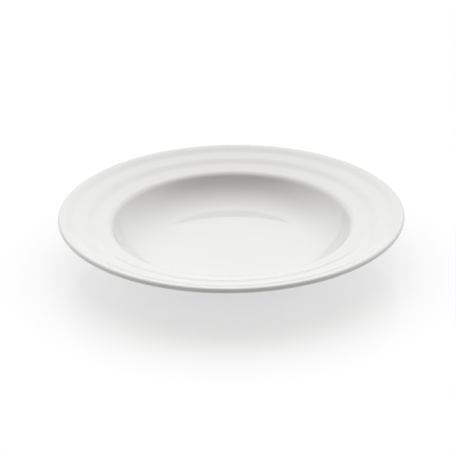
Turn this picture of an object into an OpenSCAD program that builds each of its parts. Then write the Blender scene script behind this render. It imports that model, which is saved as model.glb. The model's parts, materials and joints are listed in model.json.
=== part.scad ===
// Round porcelain pasta plate: a wide rim that climbs in soft steps, a deep coved well and a foot ring.
// Every piece is turned about +Z. The table is z = 0 and sizes are in millimetres.

/* [Overall] */
// Diameter over the lip
plate_d = 300; // [290:5:320]
// Height of the lip above the table
plate_h = 48; // [46:1:50]

/* [Well] */
// Diameter of the flat floor
floor_d = 136.5; // [130:0.5:140]
// Height of the floor above the table
floor_h = 10.5; // [10:0.5:13]
// Steepness of the wall where it meets the shoulder, in degrees
wall_angle = 63; // [58:1:75]

/* [Rim] */
// Radius of the shoulder that rolls from the rim down into the well
shoulder_r = 8; // [7:0.5:10]
// Slope of the rim between its steps, in degrees
rim_angle = 13; // [10:0.5:14]
// Number of soft steps
step_count = 2; // [1:1:2]
// Distance from the lip's edge in to the middle of the outermost step
step_inset = 9; // [8.5:0.5:11]
// Distance between the middles of two steps
step_pitch = 17.5; // [15:0.5:19]
// Radial width of a step
step_w = 13; // [9:1:13]
// Height of a step
step_rise = 1.4; // [0.6:0.2:1.8]

/* [Thickness] */
// Thickness of the wall and of the rim at the shoulder
wall_t = 4.5; // [4:0.5:5.5]
// Thickness of the rounded lip
lip_t = 4.4; // [3.2:0.2:5]

/* [Foot ring] */
// Distance from the edge of the flat floor in to the foot ring's outer face
foot_inset = 1; // [-1:0.5:3]
// Radial width of the foot ring
foot_w = 6; // [5:0.5:8]
// Depth of the recess inside the foot ring
recess_h = 5; // [4.5:0.5:5.5]
// Radius of the fillets at the root of the foot ring
root_r = 3; // [2:0.25:3]

/* [Glaze] */
// Thickness of the fired glaze
glaze_t = 0.25; // [0.2:0.05:0.4]
// Height of the bare standing ring below the edges of the glaze
bare_h = 1.2; // [0.8:0.1:1.4]

/* [Hidden] */

// Largest turn between two points of a round stretch, in degrees
arc_step = 4;
// Number of straight stretches across the rim
rim_stretches = 40;
// Points closer than this are one point
same_point = 0.001;

floor_r = floor_d / 2;
lip_r = lip_t / 2;
lip_c = [plate_d / 2 - lip_r, plate_h - lip_r];
step_places = [for (i = [0 : step_count - 1]) plate_d / 2 - step_inset - i * step_pitch];

// Radius of the cove between floor and wall, which brings the rim up to the lip's height
rim_up = [-sin(rim_angle), cos(rim_angle)];
shoulder_turn = wall_angle - rim_angle;
lip_over_floor = (lip_c - [floor_r, floor_h]) * rim_up + lip_r;
climb_over_rim = step_count * step_rise * cos(rim_angle);
roll_drop = shoulder_r * (1 - cos(shoulder_turn));
cove_r = (lip_over_floor - climb_over_rim - roll_drop) / (cos(rim_angle) - cos(shoulder_turn));
cove_c = [floor_r, floor_h + cove_r];
wall_side = [sin(wall_angle), -cos(wall_angle)];
shoulder_c = cove_c + (cove_r + shoulder_r) * wall_side;

// The rim runs from the end of the shoulder's roll to the start of the lip's
rim_start = shoulder_c + shoulder_r * rim_up;
rim_end = lip_c + lip_r * rim_up;

// The rim's underside touches the hollow under the shoulder and the lip
hollow_r = shoulder_r - wall_t;
lip_from_shoulder = lip_c - shoulder_c;
under_angle = atan2(lip_from_shoulder.y, lip_from_shoulder.x)
    - asin((hollow_r + lip_r) / norm(lip_from_shoulder));

// The foot ring's outer root fillet touches the outside of the cove
outer_cove_r = cove_r + wall_t;
foot_r = floor_r - foot_inset;
foot_inner_r = foot_r - foot_w;
root_angle = asin((root_r - foot_inset) / (outer_cove_r + root_r));
root_c = cove_c + (outer_cove_r + root_r) * [sin(root_angle), -cos(root_angle)];
foot_round = bare_h / 2;

// A path point is [radius, height, heading]. The solid lies to the right of the heading.
function away(heading) = [-sin(heading), cos(heading)];
function at(p, heading) = [p.x, p.y, heading];

// Round stretch about centre c from one heading to another, bulging for r > 0 and hollow for r < 0
function arc(c, r, from, to) =
    let (count = ceil(abs(to - from) / arc_step))
    [for (i = [0 : count])
        let (heading = from + (to - from) * i / count)
        at(c + r * away(heading), heading)];

// Height and slope of a step one unit wide and one unit high with smooth ends
function soft_step(t) = t <= -0.5 ? 0 : t >= 0.5 ? 1 : 0.5 + t + sin(360 * t) / (2 * PI);
function soft_slope(t) = abs(t) >= 0.5 ? 0 : 1 + cos(360 * t);
function total(values, i = 0) = i < len(values) ? values[i] + total(values, i + 1) : 0;

// Point of the rim's upper side at radius r
function rim_point(r) =
    let (across = [for (place = step_places) (r - place) / step_w])
    let (steps_up = total([for (t = across) soft_step(t)]))
    let (steepness = total([for (t = across) soft_slope(t)]))
    let (z = rim_start.y + (r - rim_start.x) * tan(rim_angle) + step_rise * steps_up)
    [r, z, atan(tan(rim_angle) + steepness * step_rise / step_w)];

// Leaves out each point that repeats the one before it
function joined(path) =
    [for (i = [0 : len(path) - 1])
        if (i == 0 || norm([path[i].x - path[i - 1].x, path[i].y - path[i - 1].y]) > same_point) path[i]];

function glazed(path) = [for (p = path) [p.x, p.y]];
function bare(path) = [for (p = path) [p.x, p.y] - glaze_t * away(p.z)];
function reversed(path) = [for (i = [len(path) - 1 : -1 : 0]) path[i]];

// Glazed surface from the middle of the floor out over the lip and in to the foot ring's outer face
face_path = joined(concat(
    [[0, floor_h, 0]],
    arc(cove_c, -cove_r, 0, wall_angle),
    arc(shoulder_c, shoulder_r, wall_angle, rim_angle),
    [for (i = [0 : rim_stretches]) rim_point(rim_start.x + (rim_end.x - rim_start.x) * i / rim_stretches)],
    arc(lip_c, lip_r, rim_angle, under_angle - 180),
    arc(shoulder_c, -hollow_r, under_angle - 180, wall_angle - 180),
    arc(cove_c, outer_cove_r, wall_angle - 180, root_angle - 180),
    arc(root_c, -root_r, root_angle - 180, -90),
    [[foot_r, bare_h, -90]]
));

// Glazed surface from the foot ring's inner face to the middle of the recess
base_path = joined(concat(
    [[foot_inner_r, bare_h, -270]],
    arc([foot_inner_r - root_r, recess_h - root_r], -root_r, -270, -180),
    [[0, recess_h, -180]]
));

// Bare standing ring with rounded edges
standing_path = concat(
    arc([foot_r - glaze_t - foot_round, foot_round], foot_round, -90, -180),
    arc([foot_inner_r + glaze_t + foot_round, foot_round], foot_round, -180, -270)
);

module turned(outline) {
    rotate_extrude($fn = 180) polygon(outline);
}

// Layer of glaze between a glazed path and the clay under it
module glaze_layer(path) {
    color("white") turned(concat(glazed(path), reversed(bare(path))));
}

module porcelain_body() {
    color("ivory") turned(concat(bare(face_path), glazed(standing_path), bare(base_path)));
}

module glaze_coat() {
    glaze_layer(face_path);
}

module base_glaze() {
    glaze_layer(base_path);
}

porcelain_body();
glaze_coat();
base_glaze();
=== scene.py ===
# Porcelain pasta plate: smooth turned meshes, white glaze and bare clay, on a white studio table.
import json
import math

import bpy
from mathutils import Matrix, Vector


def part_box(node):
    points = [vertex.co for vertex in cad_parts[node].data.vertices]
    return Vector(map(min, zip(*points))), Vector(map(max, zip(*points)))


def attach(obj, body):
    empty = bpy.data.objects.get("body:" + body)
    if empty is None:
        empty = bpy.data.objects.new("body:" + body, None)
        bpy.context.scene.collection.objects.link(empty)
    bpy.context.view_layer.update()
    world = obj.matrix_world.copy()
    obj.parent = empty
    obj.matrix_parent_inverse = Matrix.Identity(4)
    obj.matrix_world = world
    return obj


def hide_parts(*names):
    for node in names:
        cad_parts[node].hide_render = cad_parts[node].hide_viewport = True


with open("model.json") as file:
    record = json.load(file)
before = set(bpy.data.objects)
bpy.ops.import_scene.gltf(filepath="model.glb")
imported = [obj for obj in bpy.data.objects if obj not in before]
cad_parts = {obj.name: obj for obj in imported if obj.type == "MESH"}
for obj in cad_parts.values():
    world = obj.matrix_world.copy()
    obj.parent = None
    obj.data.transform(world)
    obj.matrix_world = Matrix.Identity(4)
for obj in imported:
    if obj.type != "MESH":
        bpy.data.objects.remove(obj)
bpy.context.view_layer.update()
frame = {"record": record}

MM = 0.001

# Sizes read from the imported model, in metres
coat_low, coat_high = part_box("glaze_coat")
_, base_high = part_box("base_glaze")
_, body_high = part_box("porcelain_body")
mount_at = {mount["name"]: Vector(mount["pos_m"]) for mount in frame["record"]["mounts"]}

plate_r = min(coat_high.x, coat_high.y, -coat_low.x, -coat_low.y)
plate_h = coat_high.z
glaze_t = coat_high.z - body_high.z
bare_h = coat_low.z
floor_h = mount_at["well_floor"].z
recess_h = base_high.z - glaze_t
foot_inner_r = base_high.x - glaze_t
foot_r = 2 * mount_at["standing_ring"].x - foot_inner_r

# The profile's own sizes, as in the construction, with angles in degrees
floor_r = 68.25 * MM
wall_angle = 63
shoulder_r = 8 * MM
rim_angle = 13
step_count = 2
step_inset = 9 * MM
step_pitch = 17.5 * MM
step_w = 13 * MM
step_rise = 1.4 * MM
wall_t = 4.5 * MM
lip_r = 2.2 * MM
root_r = 3 * MM

# Fineness of the turned meshes: degrees in a stretch of an arc, stretches across the rim and round the axis
ARC_STEP = 3
RIM_STRETCHES = 64
TURNS = 192

# Points closer than this are one point, and faces that meet at more than this angle show an edge
SAME_POINT = 0.001 * MM
SHARP_EDGE = math.radians(40)

# Range in which most of a noise's values lie
NOISE_RANGE = (0.3, 0.7)


def away(heading):
    """Outward direction in the (radius, height) plane beside a path with this heading, in degrees."""
    angle = math.radians(heading)
    return Vector((-math.sin(angle), math.cos(angle)))


def arc(centre, radius, start, end):
    """Path points on a round stretch from one heading to another: bulging for radius > 0, hollow for < 0."""
    count = math.ceil(abs(end - start) / ARC_STEP)
    headings = [start + (end - start) * i / count for i in range(count + 1)]
    return [(centre + radius * away(heading), heading) for heading in headings]


def joined(*stretches):
    """One path from stretches of (point, heading), without the points that repeat the one before."""
    path = []
    for point, heading in (p for stretch in stretches for p in stretch):
        if not path or (point - path[-1][0]).length > SAME_POINT:
            path.append((point, heading))
    return path


def glazed(path):
    """The points of a path itself."""
    return [point for point, heading in path]


def bare(path):
    """The points of the clay under a glazed path."""
    return [point - glaze_t * away(heading) for point, heading in path]


# Centres of the profile's round stretches, as in the construction
rim_tan = math.tan(math.radians(rim_angle))
rim_cos = math.cos(math.radians(rim_angle))
turn_cos = math.cos(math.radians(wall_angle - rim_angle))
lip_c = Vector((plate_r - lip_r, plate_h - lip_r))
lip_over_floor = (lip_c - Vector((floor_r, floor_h))).dot(away(rim_angle)) + lip_r
climb = step_count * step_rise * rim_cos
cove_r = (lip_over_floor - climb - shoulder_r * (1 - turn_cos)) / (rim_cos - turn_cos)
cove_c = Vector((floor_r, floor_h + cove_r))
shoulder_c = cove_c - (cove_r + shoulder_r) * away(wall_angle)
rim_start = shoulder_c + shoulder_r * away(rim_angle)
rim_end = lip_c + lip_r * away(rim_angle)
step_places = [plate_r - step_inset - i * step_pitch for i in range(step_count)]
hollow_r = shoulder_r - wall_t
reach = lip_c - shoulder_c
under_angle = math.degrees(math.atan2(reach.y, reach.x) - math.asin((hollow_r + lip_r) / reach.length))
outer_cove_r = cove_r + wall_t
root_angle = math.degrees(math.asin((root_r + foot_r - floor_r) / (outer_cove_r + root_r)))
root_c = cove_c - (outer_cove_r + root_r) * away(root_angle)
foot_round = bare_h / 2


def rim_point(share):
    """Path point on the rim's upper side, from 0 at the shoulder to 1 at the lip."""
    r = rim_start.x + share * (rim_end.x - rim_start.x)
    height = rim_start.y + (r - rim_start.x) * rim_tan
    slope = rim_tan
    for place in step_places:
        t = max(-0.5, min(0.5, (r - place) / step_w))
        height += step_rise * (0.5 + t + math.sin(math.tau * t) / math.tau)
        slope += (1 + math.cos(math.tau * t)) * step_rise / step_w
    return Vector((r, height)), math.degrees(math.atan(slope))


# Glazed surface from the middle of the floor out over the lip and in to the foot ring's outer face
face_path = joined(
    [(Vector((0, floor_h)), 0)],
    arc(cove_c, -cove_r, 0, wall_angle),
    arc(shoulder_c, shoulder_r, wall_angle, rim_angle),
    [rim_point(i / RIM_STRETCHES) for i in range(RIM_STRETCHES + 1)],
    arc(lip_c, lip_r, rim_angle, under_angle - 180),
    arc(shoulder_c, -hollow_r, under_angle - 180, wall_angle - 180),
    arc(cove_c, outer_cove_r, wall_angle - 180, root_angle - 180),
    arc(root_c, -root_r, root_angle - 180, -90),
    [(Vector((foot_r, bare_h)), -90)],
)

# Glazed surface from the foot ring's inner face to the middle of the recess
base_path = joined(
    [(Vector((foot_inner_r, bare_h)), -270)],
    arc(Vector((foot_inner_r - root_r, recess_h - root_r)), -root_r, -270, -180),
    [(Vector((0, recess_h)), -180)],
)

# Bare standing ring with rounded edges
standing_path = joined(
    arc(Vector((foot_r - glaze_t - foot_round, foot_round)), foot_round, -90, -180),
    arc(Vector((foot_inner_r + glaze_t + foot_round, foot_round)), foot_round, -180, -270),
)


def turned(name, outline, material):
    """Closed mesh: an outline of (radius, height) points turned about Z, with the solid on its right."""
    verts = []
    rings = []
    for point in outline:
        if point.x < SAME_POINT:
            rings.append([len(verts)] * TURNS)
            verts.append((0, 0, point.y))
            continue
        rings.append(range(len(verts), len(verts) + TURNS))
        for j in range(TURNS):
            angle = math.tau * j / TURNS
            verts.append((point.x * math.cos(angle), point.x * math.sin(angle), point.y))
    faces = []
    for here, there in zip(rings, rings[1:] + rings[:1]):
        # Two points on the axis have no face between them
        if here[0] == here[1] and there[0] == there[1]:
            continue
        for j in range(TURNS):
            k = (j + 1) % TURNS
            corners = [here[j], there[j], there[k], here[k]]
            faces.append([c for i, c in enumerate(corners) if c not in corners[:i]])
    mesh = bpy.data.meshes.new(name)
    mesh.from_pydata(verts, [], faces)
    mesh.shade_smooth()
    mesh.set_sharp_from_angle(angle=SHARP_EDGE)
    mesh.materials.append(material)
    piece = bpy.data.objects.new(name, mesh)
    bpy.context.scene.collection.objects.link(piece)
    return piece


def new_material(name):
    """An empty node material and its tree."""
    material = bpy.data.materials.new(name)
    material.use_nodes = True
    material.node_tree.nodes.clear()
    return material, material.node_tree


def add_node(tree, kind, links=None, **values):
    """A node with its input values and settings, and with its inputs linked from the given output sockets."""
    node = tree.nodes.new(kind)
    for key, value in values.items():
        if key in node.inputs:
            node.inputs[key].default_value = value
        else:
            setattr(node, key, value)
    for key, source in (links or {}).items():
        tree.links.new(source, node.inputs[key])
    return node


def noise(tree, place, scale, detail):
    """Cloudy values over a place."""
    node = add_node(tree, "ShaderNodeTexNoise", {"Vector": place}, Scale=scale, Detail=detail)
    return node.outputs["Fac"]


def between(tree, amount, low, high, over=NOISE_RANGE, **kind):
    """Spreads a value, by default a noise's, over a range of numbers."""
    node = add_node(tree, "ShaderNodeMapRange", {"Value": amount}, **kind)
    node.inputs["From Min"].default_value, node.inputs["From Max"].default_value = over
    node.inputs["To Min"].default_value = low
    node.inputs["To Max"].default_value = high
    return node.outputs["Result"]


def eased(tree, amount, low, high, over):
    """Spreads a value over a range of numbers, with soft ends."""
    return between(tree, amount, low, high, over, interpolation_type="SMOOTHSTEP")


def maths(tree, operation, one, other):
    """A product, maximum or the like of two values."""
    return add_node(tree, "ShaderNodeMath", {0: one, 1: other}, operation=operation).outputs[0]


def along(tree, place, direction):
    """How far a place lies along a direction."""
    node = add_node(tree, "ShaderNodeVectorMath", {0: place}, operation="DOT_PRODUCT")
    node.inputs[1].default_value = direction
    return node.outputs["Value"]


def tinted(tree, amount, one, other, over=NOISE_RANGE):
    """Mixes two colours by a value, by default a noise's."""
    # A mix of colours has them on inputs 6 and 7 and its result on output 2
    node = add_node(tree, "ShaderNodeMix", {0: between(tree, amount, 0, 1, over)}, data_type="RGBA")
    node.inputs[6].default_value = (*one, 1)
    node.inputs[7].default_value = (*other, 1)
    return node.outputs[2]


def shown_as(tree, plain, shown, amount):
    """Mixes in the second shader, by an amount, for rays of sight: straight, mirrored or through glass."""
    ray = add_node(tree, "ShaderNodeLightPath").outputs
    indirect = maths(tree, "MAXIMUM", ray["Is Glossy Ray"], ray["Is Transmission Ray"])
    in_sight = maths(tree, "MAXIMUM", ray["Is Camera Ray"], indirect)
    share = maths(tree, "MULTIPLY", in_sight, amount)
    mix = add_node(tree, "ShaderNodeMixShader", {0: share, 1: plain.outputs[0], 2: shown.outputs[0]})
    return mix.outputs[0]


def add_surface(tree, tone, roughness, relief, strength, depth, ior):
    """Gives a material its tone, roughness and a relief of the given strength and depth."""
    bump = add_node(tree, "ShaderNodeBump", {"Height": relief}, Strength=strength, Distance=depth)
    shader = add_node(
        tree,
        "ShaderNodeBsdfPrincipled",
        {"Base Color": tone, "Roughness": roughness, "Normal": bump.outputs["Normal"]},
        IOR=ior,
    )
    add_node(tree, "ShaderNodeOutputMaterial", {"Surface": shader.outputs["BSDF"]})


def glaze_material():
    """White glossy glaze, with slow drifts of tone, faint surface waves and slight changes of gloss."""
    bright = (0.83, 0.83, 0.82)
    dim = (0.81, 0.81, 0.8)
    material, tree = new_material("white_glaze")
    place = add_node(tree, "ShaderNodeTexCoord").outputs["Object"]
    tone = tinted(tree, noise(tree, place, scale=14, detail=3), bright, dim)
    gloss = between(tree, noise(tree, place, scale=60, detail=4), low=0.015, high=0.03)
    waves = noise(tree, place, scale=70, detail=1)
    add_surface(tree, tone, gloss, waves, strength=0.2, depth=0.002 * MM, ior=1.6)
    return material


def clay_material():
    """Bare fired porcelain: matt, slightly creamy and grainy."""
    pale = (0.8, 0.77, 0.71)
    dark = (0.72, 0.69, 0.63)
    material, tree = new_material("bare_porcelain")
    place = add_node(tree, "ShaderNodeTexCoord").outputs["Object"]
    tone = tinted(tree, noise(tree, place, scale=400, detail=5), pale, dark)
    dullness = between(tree, noise(tree, place, scale=900, detail=3), low=0.6, high=0.8)
    grain = noise(tree, place, scale=2500, detail=3)
    add_surface(tree, tone, dullness, grain, strength=0.4, depth=0.05 * MM, ior=1.5)
    return material


def make_plate():
    """The plate's three pieces, each in the place of its node."""
    glaze = glaze_material()
    clay = clay_material()
    coat = turned("glaze_coat_surface", glazed(face_path) + bare(face_path)[::-1], glaze)
    base = turned("base_glaze_surface", bare(base_path)[::-1] + glazed(base_path), glaze)
    body = turned("porcelain_body_surface", bare(face_path) + glazed(standing_path) + bare(base_path), clay)
    for piece, node, slot in (
        (coat, "glaze_coat", "white_glaze"),
        (base, "base_glaze", "white_glaze"),
        (body, "porcelain_body", "bare_porcelain"),
    ):
        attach(piece, "root")
        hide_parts(node)


def make_table():
    """Polished white table that keeps the plate's shadow and is seen as white paper away from the plate."""
    reach_out = 8
    table_tone = (0.8, 0.8, 0.8, 1)
    near_share = 0.65
    paper_fade = (0.85 * plate_r, 1.45 * plate_r)
    material, tree = new_material("white_table")
    polished = add_node(tree, "ShaderNodeBsdfPrincipled", Roughness=0.03, IOR=1.6)
    polished.inputs["Base Color"].default_value = table_tone
    paper = add_node(tree, "ShaderNodeEmission", Color=(1, 1, 1, 1), Strength=1)
    place = add_node(tree, "ShaderNodeTexCoord").outputs["Object"]
    distance = add_node(tree, "ShaderNodeVectorMath", {0: place}, operation="LENGTH").outputs["Value"]
    paper_share = eased(tree, distance, near_share, 1, over=paper_fade)
    surface = shown_as(tree, polished, paper, paper_share)
    add_node(tree, "ShaderNodeOutputMaterial", {"Surface": surface})
    corners = [(-reach_out, -reach_out, 0), (reach_out, -reach_out, 0),
               (reach_out, reach_out, 0), (-reach_out, reach_out, 0)]
    mesh = bpy.data.meshes.new("table")
    mesh.from_pydata(corners, [], [range(4)])
    mesh.materials.append(material)
    table = bpy.data.objects.new("table", mesh)
    bpy.context.scene.collection.objects.link(table)


def make_world():
    """Soft light tent, open at the front and lightest above, seen as a white backdrop near the table."""
    horizon_light = 0.7
    zenith_light = 2.06
    side_reach = 1.25
    side_fade = (0, 1.5)
    roof_fade = (0, 1.35)
    front_tone = (1, 0.89, 0.77)
    back_tone = (0.96, 0.98, 1)
    tone_fade = (-0.6, 0.3)
    backdrop_fade = (0.18, 0.3)
    world = bpy.data.worlds.new("studio")
    bpy.context.scene.world = world
    world.use_nodes = True
    tree = world.node_tree
    tree.nodes.clear()
    towards = add_node(tree, "ShaderNodeTexCoord").outputs["Generated"]
    height = along(tree, towards, (0, 0, 1))

    # The sides and the roof of the tent fade out towards the front
    left = along(tree, towards, (-side_reach, 1, 0))
    right = along(tree, towards, (side_reach, 1, 0))
    sides = eased(tree, maths(tree, "MAXIMUM", left, right), 0, 1, over=side_fade)
    roof = eased(tree, along(tree, towards, (0, 1, 1)), 0, 1, over=roof_fade)
    glow = between(tree, height, horizon_light, zenith_light, over=(0, 1))
    strength = maths(tree, "MULTIPLY", glow, maths(tree, "MAXIMUM", sides, roof))
    tone = tinted(tree, along(tree, towards, (0, 1, 0)), front_tone, back_tone, over=tone_fade)
    tent = add_node(tree, "ShaderNodeBackground", {"Strength": strength, "Color": tone})

    # The backdrop is as high as the low views reach, and the glaze mirrors the tent above it
    white = add_node(tree, "ShaderNodeBackground", Color=(1, 1, 1, 1), Strength=1)
    backdrop = eased(tree, height, 1, 0, over=backdrop_fade)
    add_node(tree, "ShaderNodeOutputWorld", {"Surface": shown_as(tree, tent, white, backdrop)})


def make_camera():
    """Camera at the photograph's viewing angle, with its slight roll."""
    target = Vector((-2.95, 0, 26.4)) * MM
    distance = 900 * MM
    elevation = math.radians(25.65)
    roll = math.radians(-0.87)
    data = bpy.data.cameras.new("camera")
    data.sensor_width = 36
    data.lens = 80.45
    camera = bpy.data.objects.new("camera", data)
    back = Vector((0, -math.cos(elevation), math.sin(elevation)))
    turn = (-back).to_track_quat("-Z", "Y").to_matrix().to_4x4()
    camera.matrix_world = Matrix.Translation(target + distance * back) @ turn @ Matrix.Rotation(roll, 4, "Z")
    bpy.context.scene.collection.objects.link(camera)
    bpy.context.scene.camera = camera


make_plate()
make_table()
make_world()
make_camera()
# Light that grazes along the hollow of the well is mirrored many times
bpy.context.scene.cycles.glossy_bounces = 12
bpy.context.scene.view_settings.view_transform = "Standard"
